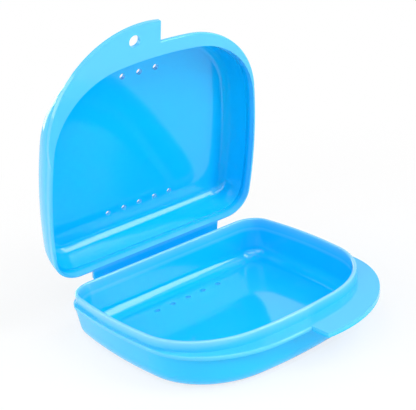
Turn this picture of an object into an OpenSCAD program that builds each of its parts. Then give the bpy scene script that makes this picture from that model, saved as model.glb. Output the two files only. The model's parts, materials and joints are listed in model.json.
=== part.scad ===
// Denture case: two trays joined by a living hinge, moulded in one shot.
// The origin is the centre of the base's flat bottom, with the front towards -Y.

/* [Case] */
// Width of the rim, side to side
case_w = 80; // [78:0.5:84]
// Depth of the rim, back to front, without the tabs
case_d = 76.4; // [74:0.4:80]
// Height of the closed case
case_h = 26; // [24:0.5:32]
// Thickness of the tray walls and of the lid's top
wall = 1.5; // [1.2:0.1:1.6]
// How far in from the sides the rim's straight back ends
back_corner = 10.2; // [10.2:0.1:11.5]

/* [Base tray] */
// Height of the ledge that carries the lid
ledge_z = 12.6; // [11.4:0.2:15]
// Thickness of the ledge, the lid's flange and the tabs
ledge_t = 1.4; // [1.2:0.1:1.6]
// Height of the lip above the ledge
lip_h = 3.2; // [2.6:0.1:3.4]
// Thickness of the lip
lip_t = 1.2; // [1:0.1:1.3]
// Thickness of the floor
floor_t = 1.3; // [1.1:0.1:1.6]
// Radius of the outer edge round the bottom
foot_radius = 5.5; // [4.5:0.1:5.8]

/* [Lid tray] */
// Radius of the outer edge round the lid's top
crown_radius = 4.7; // [4:0.1:5]
// Clearance between the lip and the lid's rebate
lip_gap = 0.2; // [0.15:0.05:0.25]
// Gap between the ledge and the lid's rim when the case is shut
rim_gap = 0.2; // [0.1:0.05:0.3]

/* [Hinge] */
// Distance of the hinge line behind the rim
hinge_reach = 3.8; // [3.4:0.1:5]
// Length of the base's hinge leaf and of the film
base_leaf_w = 44.2; // [36:0.2:48]
// Length of the lid's hinge leaf
lid_leaf_w = 50.8; // [49:0.2:54]
// Thickness of the hinge leaves
leaf_t = 1.1; // [0.9:0.1:1.2]
// Thickness of the film that bends
film_t = 0.35; // [0.25:0.05:0.4]
// How far the lid stands open, from shut
open_angle = 72.3; // [40:0.1:100]

/* [Tabs] */
// Radius of the tabs' outer edge
tab_r = 33.8; // [33.4:0.2:35]
// Distance of each tab's centre from the middle of the case
tab_x = 5.3; // [4.8:0.1:6]
// How far the tabs reach in front of the rim
tab_reach = 7.1; // [6:0.1:8]
// Diameter of the hanging hole
hang_hole = 3.8; // [3:0.2:4.4]

/* [Vents] */
// Diameter of a vent hole
vent_d = 2; // [1.4:0.1:2.6]
// Distance between neighbouring vent holes
vent_pitch = 6.2; // [5.6:0.1:7]

/* [Hidden] */
$fa = 3;
$fs = 0.5;
plastic = "deepskyblue";

back_straight = case_w - 2 * back_corner;
// The lip stands this far inside the rim at the sides and back, and further at the front.
lip_inset = 1.05;
front_shelf = 3.7;
side_r = 188;
rim_turns = [4.6, -8.2, -86];
lip_turns = [4.6, -7.4, -83.5];
// The base wall leans in towards the floor, more outside than inside, and starts just inside
// the ledge's edge.
outer_draft = 5;
inner_draft = 2.5;
base_step = 0.85;
edge_r = 0.5;
// The rounding round the floor inside is this much wider than one parallel to the foot.
floor_ease = 0.3;
rebate_depth = lip_h + rim_gap;
parting_z = ledge_z + rim_gap;
// The lid's side is one long curve, whose radius exceeds the crown's by this. The two meet
// in this direction from the crown's centre.
curve_gain = 22;
meeting = [0.936, 0.352];

hinge_y = case_d / 2 + hinge_reach;
hinge_z = ledge_z + rim_gap / 2;
film_span = 0.5;
film_drop = rim_gap / 2 + film_t / 2;
film_r = film_drop + film_span * tan(open_angle / 2);

tab_y = tab_r - case_d / 2 - tab_reach;
hole_inset = 4.5;
hole_bearing = -97.6;
back_vents_in = 11.5;
front_vents_in = 15.2;
back_vents_y = case_d / 2 - back_vents_in;
front_vents_y = front_vents_in - case_d / 2;

// Inward reach of a wall's section, and places where plates end inside other solids.
reach = 8;
plate_inset = 7.2;
nose_depth = 0.8;
nose_overlap = 0.65;
wall_overlap = 0.4;
eps = 0.01;

// An outline is a closed run of tangent arcs, alike on both sides of the middle. The turns are
// the directions in which the back corner, the side and the front corner end. The corners'
// radii follow from the straight stretch at the back and from the reach of the front.
function outline(half, back, front, side, turns) =
    let (
        corner = side - (back_straight / 2 + side - half) / cos(turns[0]),
        side_c = [half - side, back - corner - (side - corner) * sin(turns[0])],
        end = side_c + side * [cos(turns[1]), sin(turns[1])],
        k = tan(45 + turns[2] / 2),
        front_r = (end.y - k * end.x - front) / (1 + sin(turns[1]) - k * cos(turns[1])),
        front_c = side_c + (side - front_r) * [cos(turns[1]), sin(turns[1])],
        nose_r = front_r + front_c.x / cos(turns[2])
    )
    [
        [[0, front + nose_r], nose_r, -180 - turns[2], turns[2]],
        [front_c, front_r, turns[2], turns[1]],
        [side_c, side, turns[1], turns[0]],
        [[back_straight / 2, back - corner], corner, turns[0], 90]
    ];
function grown(arcs, d) = [for (a = arcs) [a[0], a[1] + d, a[2], a[3]]];

rim = outline(case_w / 2, case_d / 2, -case_d / 2, side_r, rim_turns);
lip = outline(case_w / 2 - lip_inset, case_d / 2 - lip_inset, lip_inset + front_shelf - case_d / 2,
    side_r - lip_inset, lip_turns);
lid_side = grown(lip, lip_inset);

// A coarse loop inside the outline, for plates whose edges are buried in other solids.
loop_steps = 8;
function half_loop(o, inset) = [
    for (a = o, i = [0:loop_steps])
        let (t = a[2] + (a[3] - a[2]) * i / loop_steps, p = a[0] + (a[1] - inset) * [cos(t), sin(t)])
        if (p.x >= 0) p
];
module loop(o, inset) {
    half = half_loop(o, inset);
    last = len(half) - 1;
    polygon(concat(half, [for (i = [last:-1:0]) [-half[i].x, half[i].y]]));
}

// Moves a piece in whole, fine and finer steps, so that arcs meet exactly.
module place(v) {
    whole = [round(v.x), round(v.y)];
    fine = [round((v.x - whole.x) * 10000), round((v.y - whole.y) * 10000)] / 10000;
    translate(whole) translate(fine) translate(v - whole - fine) children();
}

// Sweeps a section along an arc. Its X points outwards and its Y points up.
module sweep_arc(a) {
    place(a[0]) rotate_extrude(angle = a[3] - a[2], start = a[2]) place([a[1], 0]) children();
}
module sweep_front(o) {
    sweep_arc(o[0]) children();
    sweep_arc(o[1]) children();
    mirror([1, 0, 0]) sweep_arc(o[1]) children();
}
module sweep(o) {
    sweep_front(o) children();
    for (i = [2, 3]) {
        sweep_arc(o[i]) children();
        mirror([1, 0, 0]) sweep_arc(o[i]) children();
    }
    rotate([90, 0, 90]) linear_extrude(back_straight, center = true)
        place([o[3][0].y + o[3][1], 0]) children();
}

// Section of a ledge or flange edge, rounded outside, with its underside at z.
module nose(z) {
    translate([-nose_depth, z]) square([nose_depth - edge_r, ledge_t]);
    translate([-edge_r - eps, z + edge_r]) square([edge_r + eps, ledge_t - 2 * edge_r]);
    for (up = [edge_r, ledge_t - edge_r])
        translate([-edge_r, z + up]) circle(edge_r);
}

// Section of a tray body from its foot to its top, with a leaning side through [x, top].
module body_section(x, top, foot, radius, draft) {
    outward = [cos(draft), -sin(draft)];
    centre = [
        (x * outward.x + top * outward.y - radius - (foot + radius) * outward.y) / outward.x,
        foot + radius
    ];
    intersection() {
        union() {
            polygon([[-reach, foot], [centre.x, foot], centre + radius * outward, [x, top], [-reach, top]]);
            translate(centre) circle(radius);
        }
        translate([-reach, foot]) square([reach + x, top - foot]);
    }
}

// Section of the base: wall, lip and the rounded edge of the floor, from the lip's outer face.
module base_section() {
    lip_top = ledge_z + lip_h;
    difference() {
        union() {
            body_section(base_step, ledge_z, 0, foot_radius, outer_draft);
            translate([-reach, ledge_z - eps]) square([reach, lip_h - edge_r + eps]);
        }
        body_section(-lip_t, lip_top - edge_r, floor_t, foot_radius - wall + floor_ease, inner_draft);
    }
    translate([-lip_t + edge_r, lip_top - edge_r - eps]) square([lip_t - 2 * edge_r, edge_r + eps]);
    for (x = [-edge_r, edge_r - lip_t])
        translate([x, lip_top - edge_r]) circle(edge_r);
}

// One half of the round thumb tab, on the right, with its underside at z.
module tab(o, z) {
    translate([0, 0, z]) linear_extrude(ledge_t) difference() {
        intersection() {
            translate([tab_x, tab_y]) circle(tab_r);
            translate([0, -case_d]) square([case_w, case_d]);
        }
        loop(o, wall_overlap);
    }
}

module vents(z) {
    for (i = [-2:2])
        translate([i * vent_pitch, back_vents_y, z]) cylinder(h = 2 * wall, d = vent_d, center = true);
    for (i = [-1:1])
        translate([i * vent_pitch, front_vents_y, z]) cylinder(h = 2 * wall, d = vent_d, center = true);
}

module base_tray() {
    color(plastic) difference() {
        union() {
            sweep(lip) base_section();
            linear_extrude(floor_t) loop(lip, plate_inset);
            sweep(rim) nose(ledge_z - ledge_t);
            translate([0, 0, ledge_z - ledge_t]) linear_extrude(ledge_t) difference() {
                loop(rim, nose_overlap);
                loop(lip, wall_overlap);
            }
            tab(lip, ledge_z - ledge_t);
            translate([-base_leaf_w / 2, case_d / 2 - nose_overlap, ledge_z - leaf_t])
                cube([base_leaf_w, hinge_reach - film_span + nose_overlap, leaf_t]);
        }
        vents(floor_t / 2);
    }
}

// Solid section of the lid, shrunk by d on every side, from the outer face of its wall.
module lid_body(d) {
    top = case_h - parting_z;
    side_curve = crown_radius + curve_gain;
    centre = [curve_gain * meeting.x - side_curve, top - crown_radius];
    start = centre.y - curve_gain * meeting.y;
    meet = centre.y + (crown_radius - d) * meeting.y;
    intersection() {
        union() {
            translate([-reach, 0]) square([reach - d, start]);
            intersection() {
                translate([-side_curve, start]) circle(side_curve - d, $fn = 360);
                translate([-reach, start]) square([reach, meet - start]);
            }
            translate([-reach, start]) square([reach + centre.x, top - d - start]);
            translate(centre) circle(crown_radius - d);
        }
        translate([-reach, 0]) square([reach, top - d]);
    }
}

// Section of the lid: crown, wall and rebate, with a rounded outer edge at the rim.
module lid_section() {
    difference() {
        lid_body(0);
        lid_body(wall);
        translate([-reach, -eps]) square([reach - lip_inset + lip_gap, rebate_depth + eps]);
        translate([-edge_r, -edge_r]) square(2 * edge_r);
    }
    intersection() {
        translate([-edge_r, edge_r]) circle(edge_r);
        translate([-edge_r - eps, 0]) square(edge_r + eps);
    }
}

// The lid as it lies shut on the base.
module shut_lid() {
    difference() {
        union() {
            translate([0, 0, parting_z]) {
                sweep(lid_side) lid_section();
                sweep_front(rim) nose(0);
                linear_extrude(ledge_t) difference() {
                    loop(rim, nose_overlap);
                    loop(lid_side, wall_overlap);
                }
            }
            translate([0, 0, case_h - wall]) linear_extrude(wall) loop(lid_side, plate_inset);
            mirror([1, 0, 0]) tab(lid_side, parting_z);
            translate([-lid_leaf_w / 2, case_d / 2 - wall_overlap, parting_z])
                cube([lid_leaf_w, hinge_reach - film_span + wall_overlap, leaf_t]);
        }
        vents(case_h - wall / 2);
        translate([-tab_x, tab_y, parting_z - ledge_t]) rotate(hole_bearing)
            translate([tab_r - hole_inset, 0, 0]) cylinder(h = 3 * ledge_t, d = hang_hole);
    }
}

module lid_tray() {
    color(plastic)
        translate([0, hinge_y, hinge_z]) rotate([-open_angle, 0, 0]) translate([0, -hinge_y, -hinge_z])
        shut_lid();
}

// The film, bent round from the base's leaf to the lid's leaf.
module hinge_film() {
    color(plastic)
        translate([0, hinge_y - film_span, hinge_z - film_drop + film_r]) rotate([90, 0, 90])
        rotate_extrude(angle = 180 - open_angle, start = -90)
        translate([film_r - film_t / 2, -base_leaf_w / 2]) square([film_t, base_leaf_w]);
}

base_tray();
lid_tray();
hinge_film();
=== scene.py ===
# %% [markdown]
# # A denture case, opened on a white table
#
# The case is two shallow trays and a thin strip between them, all moulded in one shot from
# translucent blue polypropylene. The imported parts give every size. This script brings them in,
# gives the plastic its tints, its painted light and its gloss, builds the strip that bends, and
# sets up the table, the lights and the camera.

# %% Load the imported case
import json
import math

import bmesh
import bpy
from mathutils import Matrix, Vector


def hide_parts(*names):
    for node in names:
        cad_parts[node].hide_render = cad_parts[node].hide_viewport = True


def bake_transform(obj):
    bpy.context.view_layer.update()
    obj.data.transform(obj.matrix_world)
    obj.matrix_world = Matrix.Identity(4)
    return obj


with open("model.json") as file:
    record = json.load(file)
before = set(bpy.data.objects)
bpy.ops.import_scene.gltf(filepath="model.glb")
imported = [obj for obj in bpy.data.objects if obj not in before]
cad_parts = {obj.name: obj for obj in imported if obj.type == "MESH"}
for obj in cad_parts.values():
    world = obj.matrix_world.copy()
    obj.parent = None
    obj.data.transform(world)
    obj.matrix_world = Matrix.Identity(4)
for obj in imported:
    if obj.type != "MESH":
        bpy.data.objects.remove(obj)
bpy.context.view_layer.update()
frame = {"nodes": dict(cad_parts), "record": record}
MM = 0.001

print("nodes:", sorted(frame["nodes"]))

# %% [markdown]
# ## Two helpers for materials
#
# Colours are written as the hex codes that a paint program shows. A node's sockets want linear
# light, so one function turns the first into the second. The other function adds a node, sets
# what it is told to set and links what it is told to link, which keeps each material short.

# %% Colour and node helpers
def linear(code):
    """The linear RGBA of an sRGB hex code such as 12aaff."""
    channels = [int(code[i:i + 2], 16) / 255 for i in (0, 2, 4)]
    return [c / 12.92 if c <= 0.04045 else ((c + 0.055) / 1.055) ** 2.4 for c in channels] + [1.0]


def add_node(tree, kind, sockets=None, **settings):
    """Adds a node. A socket's value is either linked, if it is another node's output, or set."""
    node = tree.nodes.new(kind)
    for name, value in settings.items():
        setattr(node, name, value)
    for name, value in (sockets or {}).items():
        if isinstance(value, bpy.types.NodeSocket):
            tree.links.new(value, node.inputs[name])
        else:
            node.inputs[name].default_value = value
    return node


def new_material(name):
    """An empty material and its node tree."""
    material = bpy.data.materials.new(name)
    material.use_nodes = True
    material.node_tree.nodes.clear()
    return material, material.node_tree


print("white is", linear("ffffff"))

# %% [markdown]
# ## Moulded blue polypropylene
#
# Polypropylene is semi-crystalline, so it is a little cloudy. The mould is polished, so the
# surface is glossy, but it follows a tool that was finished by hand and it sinks slightly as it
# cools. Three patterns say so: a cloudiness over a few centimetres, a satin patchiness in the
# roughness over a few millimetres, and a very low ripple.
#
# Light that sinks in goes right through where the wall ends, so the lip, the rim and the tabs
# look paler than the deep walls. Subsurface scattering could do that, but a case this small
# then turns grainy and grey. So that light is painted into the colour instead: a paler tint
# follows the height above each tray's rim, and a ramp says how much painted light the plastic
# gets at each height. The same ramp paints a highlight along the base's ledge edge and paints
# the walls of the floor's vent holes paler, as if lit through them. The lid stands open, so a
# Mapping node first turns it shut, and then both trays' rims are level. The hinge leaves at the
# back lie in the lid's shade, so the painted light is taken off them and they keep the deep
# colour.

# %% Plastic material
PP_IOR = 1.5
CLOUD_MM = 34
CLOUD_STOPS = (0.3, 0.7)
SATIN_MM = 5
SATIN_ROUGHNESS = (0.06, 0.10)
RIPPLE_MM = 9
RIPPLE_DEPTH_MM = 0.006
# Heights over the rim that the painted-light ramp spans, and where the hinge leaves begin.
RAMP_MM = (-13, 4)
LEAF_Y = (37.6 * MM, 39 * MM)
# Heights of the two rims with the case shut, and the turn that shuts the lid.
LEDGE_Z = 12.6 * MM
LID_RIM_Z = 12.8 * MM
HINGE_AXIS = Vector(frame["record"]["behaviour"]["joints"][0]["pos_m"])
OPEN_ANGLE = math.radians(72.3)


def polypropylene(name, deep_codes, painted_light_code, rim_height, turn, painted_light):
    """Glossy translucent polypropylene with painted light. It is painted paler at the heights over
    the rim, in mm, that painted_light names, once the tray is turned shut."""
    material, tree = new_material(name)
    place = add_node(tree, "ShaderNodeTexCoord").outputs["Object"]
    cloud = add_node(tree, "ShaderNodeTexNoise", {
        "Vector": place, "Scale": 1 / (CLOUD_MM * MM), "Detail": 2.0})
    shade = add_node(tree, "ShaderNodeValToRGB", {"Fac": cloud.outputs["Fac"]})
    for stop, position, code in zip(shade.color_ramp.elements, CLOUD_STOPS, deep_codes):
        stop.position = position
        stop.color = linear(code)
    shut = Matrix.Rotation(turn, 3, "X")
    level = add_node(tree, "ShaderNodeMapping", {
        "Vector": place, "Rotation": (turn, 0, 0),
        "Location": HINGE_AXIS - shut @ HINGE_AXIS - Vector((0, 0, rim_height))})
    axes = add_node(tree, "ShaderNodeSeparateXYZ", {"Vector": level.outputs["Vector"]})
    height = add_node(tree, "ShaderNodeMapRange", {
        "Value": axes.outputs["Z"], "From Min": RAMP_MM[0] * MM, "From Max": RAMP_MM[1] * MM})
    # Painted light: how much of the pale blue each height over the rim gets.
    painted_light_ramp = add_node(tree, "ShaderNodeValToRGB", {"Fac": height.outputs["Result"]})
    stops = painted_light_ramp.color_ramp.elements
    for at, (over_rim, share) in enumerate(painted_light):
        position = (over_rim - RAMP_MM[0]) / (RAMP_MM[1] - RAMP_MM[0])
        stop = stops[at] if at < 2 else stops.new(position)
        stop.position = position
        stop.color = (share, share, share, 1)
    # The hinge leaves lie in the lid's shade, so the painted light fades out over them.
    before_leaf = add_node(tree, "ShaderNodeMapRange", {
        "Value": axes.outputs["Y"], "From Min": LEAF_Y[0], "From Max": LEAF_Y[1],
        "To Min": 1.0, "To Max": 0.0})
    painted_light_share = add_node(tree, "ShaderNodeMath", {
        0: painted_light_ramp.outputs["Color"], 1: before_leaf.outputs["Result"]}, operation="MULTIPLY")
    # The cloudy blue mixed with the pale blue of the painted light.
    colour_with_painted_light = add_node(tree, "ShaderNodeMixRGB", {
        "Fac": painted_light_share.outputs["Value"], "Color1": shade.outputs["Color"],
        "Color2": linear(painted_light_code)})
    satin = add_node(tree, "ShaderNodeTexNoise", {
        "Vector": place, "Scale": 1 / (SATIN_MM * MM), "Detail": 3.0})
    rough = add_node(tree, "ShaderNodeMapRange", {
        "Value": satin.outputs["Fac"], "To Min": SATIN_ROUGHNESS[0],
        "To Max": SATIN_ROUGHNESS[1]})
    ripple = add_node(tree, "ShaderNodeTexNoise", {
        "Vector": place, "Scale": 1 / (RIPPLE_MM * MM), "Detail": 1.0})
    bump = add_node(tree, "ShaderNodeBump", {
        "Height": ripple.outputs["Fac"], "Strength": 1.0, "Distance": RIPPLE_DEPTH_MM * MM})
    shader = add_node(tree, "ShaderNodeBsdfPrincipled", {
        "Base Color": colour_with_painted_light.outputs["Color"], "Roughness": rough.outputs["Result"],
        "Normal": bump.outputs["Normal"], "IOR": PP_IOR})
    add_node(tree, "ShaderNodeOutputMaterial", {"Surface": shader.outputs["BSDF"]})
    return material


# Painted light on the base, as shares of the pale blue by height over the ledge: pale walls in the
# floor's vent holes, as if lit through them, a painted highlight along the ledge's outer edge, and
# a lip painted paler towards its top for light shining through it.
BASE_PAINTED_LIGHT = [(-12.5, 0.25), (-11.5, 0.25), (-11.3, 0), (-1.5, 0), (-0.4, 0.4), (0.2, 0.15),
                 (1.6, 0.35), (2.6, 0.7), (3.2, 1)]
# Painted light on the lid: its rim and flange painted paler for light shining through the thin
# plastic.
LID_PAINTED_LIGHT = [(-2, 0.3), (-0.1, 0.4), (1.5, 0.4), (2.6, 0)]
DEEP_BLUES = ("07c3fb", "0cc8fd")
# The pale blue of the painted light.
PAINTED_LIGHT_PALE_BLUE = "84d6fc"
base_plastic = polypropylene("moulded_polypropylene", DEEP_BLUES, PAINTED_LIGHT_PALE_BLUE,
                             LEDGE_Z, 0, BASE_PAINTED_LIGHT)
lid_plastic = polypropylene("moulded_polypropylene_lid", DEEP_BLUES, PAINTED_LIGHT_PALE_BLUE,
                            LID_RIM_Z, OPEN_ANGLE, LID_PAINTED_LIGHT)
for name, plastic in (("base_tray", base_plastic), ("lid_tray", lid_plastic)):
    tray = frame["nodes"][name]
    tray.data.materials.clear()
    tray.data.materials.append(plastic)
    print(name, len(tray.data.polygons), "triangles, material", tray.data.materials[0].name)

# %% [markdown]
# ## The strip that bends
#
# Between the trays' two hinge leaves the wall thins to about a third of a millimetre. There it
# is a living hinge: the plastic itself bends, thousands of times, and no pin is needed. The
# packed strip is rigid, so a new one takes its place. Its section is one thin rectangle across
# the case. Spinning it about the bend's own axis gives the curl, in enough rings for a smooth
# curve. Its ends lie flush with the leaves' ends and inner faces.

# %% Hinge strip
STRIP_LENGTH = 44.2 * MM
STRIP_THICK = 0.35 * MM
BEND_AXIS = Vector((0, 41.5, 13.065)) * MM
BEND_RADIUS = 0.640 * MM
BEND_ANGLE = math.radians(107.7)
BEND_RINGS = 18


def hinge_strip():
    """The thin curled strip, as one closed mesh."""
    bm = bmesh.new()
    flat = Matrix.Diagonal((STRIP_LENGTH, STRIP_THICK, 1, 1))
    upright = Matrix.Rotation(math.radians(90), 4, "X")
    start = Matrix.Translation(BEND_AXIS - Vector((0, 0, BEND_RADIUS)))
    bmesh.ops.create_grid(bm, x_segments=1, y_segments=1, size=0.5, matrix=start @ upright @ flat)
    bmesh.ops.spin(bm, geom=bm.verts[:] + bm.edges[:] + bm.faces[:], cent=BEND_AXIS,
                   axis=(1, 0, 0), angle=BEND_ANGLE, steps=BEND_RINGS, use_duplicate=False)
    bmesh.ops.remove_doubles(bm, verts=bm.verts, dist=1e-7)
    bmesh.ops.recalc_face_normals(bm, faces=bm.faces)
    mesh = bpy.data.meshes.new("hinge_strip")
    bm.to_mesh(mesh)
    bm.free()
    return mesh


strip = bpy.data.objects.new("hinge_strip", hinge_strip())
bpy.context.scene.collection.objects.link(strip)
strip.data.materials.append(base_plastic)
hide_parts("hinge_film")
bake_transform(strip)

# %% [markdown]
# ## The table
#
# The photograph is a catalogue shot: the case stands on white with hardly a shadow. A round disc
# is the table. Near the case it is mostly even white, with just enough plain card left in it to
# take a faint shadow. Further out it turns into even white, so that no horizon shows. Only the
# camera and the gloss see the even white: the lamps light plain card.

# %% White table
TABLE_RADIUS = 1.6
TABLE_DROP = 0.02 * MM
# The shadow fades out between these distances. Nearer than that, this share is even white.
SHADOW_REACH = (0.10, 0.22)
EVEN_SHARE = 0.75


def white_table():
    """A disc at the height of the case's underside."""
    bm = bmesh.new()
    bmesh.ops.create_circle(bm, cap_ends=True, segments=96, radius=TABLE_RADIUS,
                            matrix=Matrix.Translation((0, 0, -TABLE_DROP)))
    mesh = bpy.data.meshes.new("table")
    bm.to_mesh(mesh)
    bm.free()
    disc = bpy.data.objects.new("table", mesh)
    bpy.context.scene.collection.objects.link(disc)
    material, tree = new_material("white_card")
    place = add_node(tree, "ShaderNodeTexCoord").outputs["Object"]
    distance = add_node(tree, "ShaderNodeVectorMath", {0: place}, operation="LENGTH")
    far = add_node(tree, "ShaderNodeMapRange", {
        "Value": distance.outputs["Value"], "From Min": SHADOW_REACH[0],
        "From Max": SHADOW_REACH[1], "To Min": EVEN_SHARE}, interpolation_type="SMOOTHSTEP")
    ray = add_node(tree, "ShaderNodeLightPath")
    seen = add_node(tree, "ShaderNodeMath", {
        0: ray.outputs["Is Camera Ray"], 1: ray.outputs["Is Glossy Ray"]}, operation="MAXIMUM")
    share = add_node(tree, "ShaderNodeMath", {
        0: seen.outputs["Value"], 1: far.outputs["Result"]}, operation="MULTIPLY")
    card = add_node(tree, "ShaderNodeBsdfDiffuse", {"Color": linear("fdfdfd")})
    glow = add_node(tree, "ShaderNodeEmission", {"Color": linear("ffffff"), "Strength": 1.0})
    mix = add_node(tree, "ShaderNodeMixShader", {
        "Fac": share.outputs["Value"], 1: card.outputs["BSDF"], 2: glow.outputs["Emission"]})
    add_node(tree, "ShaderNodeOutputMaterial", {"Surface": mix.outputs["Shader"]})
    mesh.materials.append(material)
    return disc


table = white_table()
print("table radius", TABLE_RADIUS, "m")

# %% [markdown]
# ## Light
#
# Two long pale bands run along the trays' inner back edges. Such an edge mirrors one tall,
# narrow window at the front right, so that is the first lamp. The others are large and weak soft
# boxes all round, whose strengths were worked out by rendering each alone. The low one behind
# lights the lid's outer face, which leans away from the rest. White walls round the set fill in
# what is left, which the world does here: the camera and the gloss see them as white, while what
# they add to the plastic's own colour stays low.

# %% World and lamps
WORLD_LIGHT = 0.15
LIT_POINT = Vector((0, 0.02, 0.03))
LAMP_DISTANCE = 0.9
# Name: azimuth and elevation in degrees, width and height in metres, radiance.
LAMPS = {
    "window_box": (30, 30, (0.25, 1.2), 6.0),
    "front_box": (-25, 42, (0.6, 0.3), 3.2),
    "left_box": (-80, 30, (0.7, 0.4), 2.8),
    "rear_left_box": (-135, 25, (0.6, 0.5), 2.3),
    "right_box": (80, 40, (0.6, 0.5), 1.0),
    "rear_box": (172, 10, (0.6, 0.3), 3.6),
    "top_box": (-60, 76, (0.6, 0.6), 1.2),
}


def studio_world():
    """White for the camera and the gloss, and a softer fill for everything else."""
    world = bpy.data.worlds.new("white_studio")
    world.use_nodes = True
    tree = world.node_tree
    tree.nodes.clear()
    ray = add_node(tree, "ShaderNodeLightPath")
    seen = add_node(tree, "ShaderNodeMath", {
        0: ray.outputs["Is Camera Ray"], 1: ray.outputs["Is Glossy Ray"]}, operation="MAXIMUM")
    fill = add_node(tree, "ShaderNodeBackground", {
        "Color": linear("ffffff"), "Strength": WORLD_LIGHT})
    walls = add_node(tree, "ShaderNodeBackground", {"Color": linear("ffffff"), "Strength": 1.0})
    mix = add_node(tree, "ShaderNodeMixShader", {
        "Fac": seen.outputs["Value"], 1: fill.outputs["Background"],
        2: walls.outputs["Background"]})
    add_node(tree, "ShaderNodeOutputWorld", {"Surface": mix.outputs["Shader"]})
    bpy.context.scene.world = world


def lamp(name, azimuth, elevation, size, radiance):
    """A soft box that shines on the middle of the case."""
    turn, rise = math.radians(azimuth), math.radians(elevation)
    towards = Vector((math.sin(turn) * math.cos(rise), -math.cos(turn) * math.cos(rise),
                      math.sin(rise)))
    data = bpy.data.lights.new(name, "AREA")
    data.shape = "RECTANGLE"
    data.size, data.size_y = size
    data.energy = radiance * math.pi * size[0] * size[1]
    box = bpy.data.objects.new(name, data)
    bpy.context.scene.collection.objects.link(box)
    box.location = LIT_POINT + LAMP_DISTANCE * towards
    box.rotation_mode = "QUATERNION"
    box.rotation_quaternion = (-towards).to_track_quat("-Z", "Y")
    print(name, "stands at", [round(c, 2) for c in box.location], "m:", round(data.energy, 2), "W")


studio_world()
for name, settings in LAMPS.items():
    lamp(name, *settings)

# %% [markdown]
# ## Camera
#
# The viewpoint was worked out from the photograph's perspective: a little over three hundred
# millimetres away, about twenty degrees above the table and to the left of the front, with the
# camera held slightly out of level.

# %% Camera
AIM = Vector((16.18, 31.07, 28.08)) * MM
AZIMUTH = math.radians(-32.561)
ELEVATION = math.radians(20.496)
DISTANCE = 337.1 * MM
ROLL = math.radians(-8.807)
SENSOR_MM = 36
LENS_MM = 86.45

camera_data = bpy.data.cameras.new("camera")
camera_data.sensor_width = SENSOR_MM
camera_data.lens = LENS_MM
camera_data.clip_start = 0.01
camera = bpy.data.objects.new("camera", camera_data)
bpy.context.scene.collection.objects.link(camera)
backwards = Vector((math.sin(AZIMUTH) * math.cos(ELEVATION),
                    -math.cos(AZIMUTH) * math.cos(ELEVATION), math.sin(ELEVATION)))
camera.location = AIM + DISTANCE * backwards
camera.rotation_mode = "QUATERNION"
level = (-backwards).to_track_quat("-Z", "Y")
camera.rotation_quaternion = level @ Matrix.Rotation(ROLL, 4, "Z").to_quaternion()
bpy.context.scene.camera = camera
bpy.context.scene.view_settings.view_transform = "Standard"
print("camera at", [round(c / MM, 1) for c in camera.location], "mm")
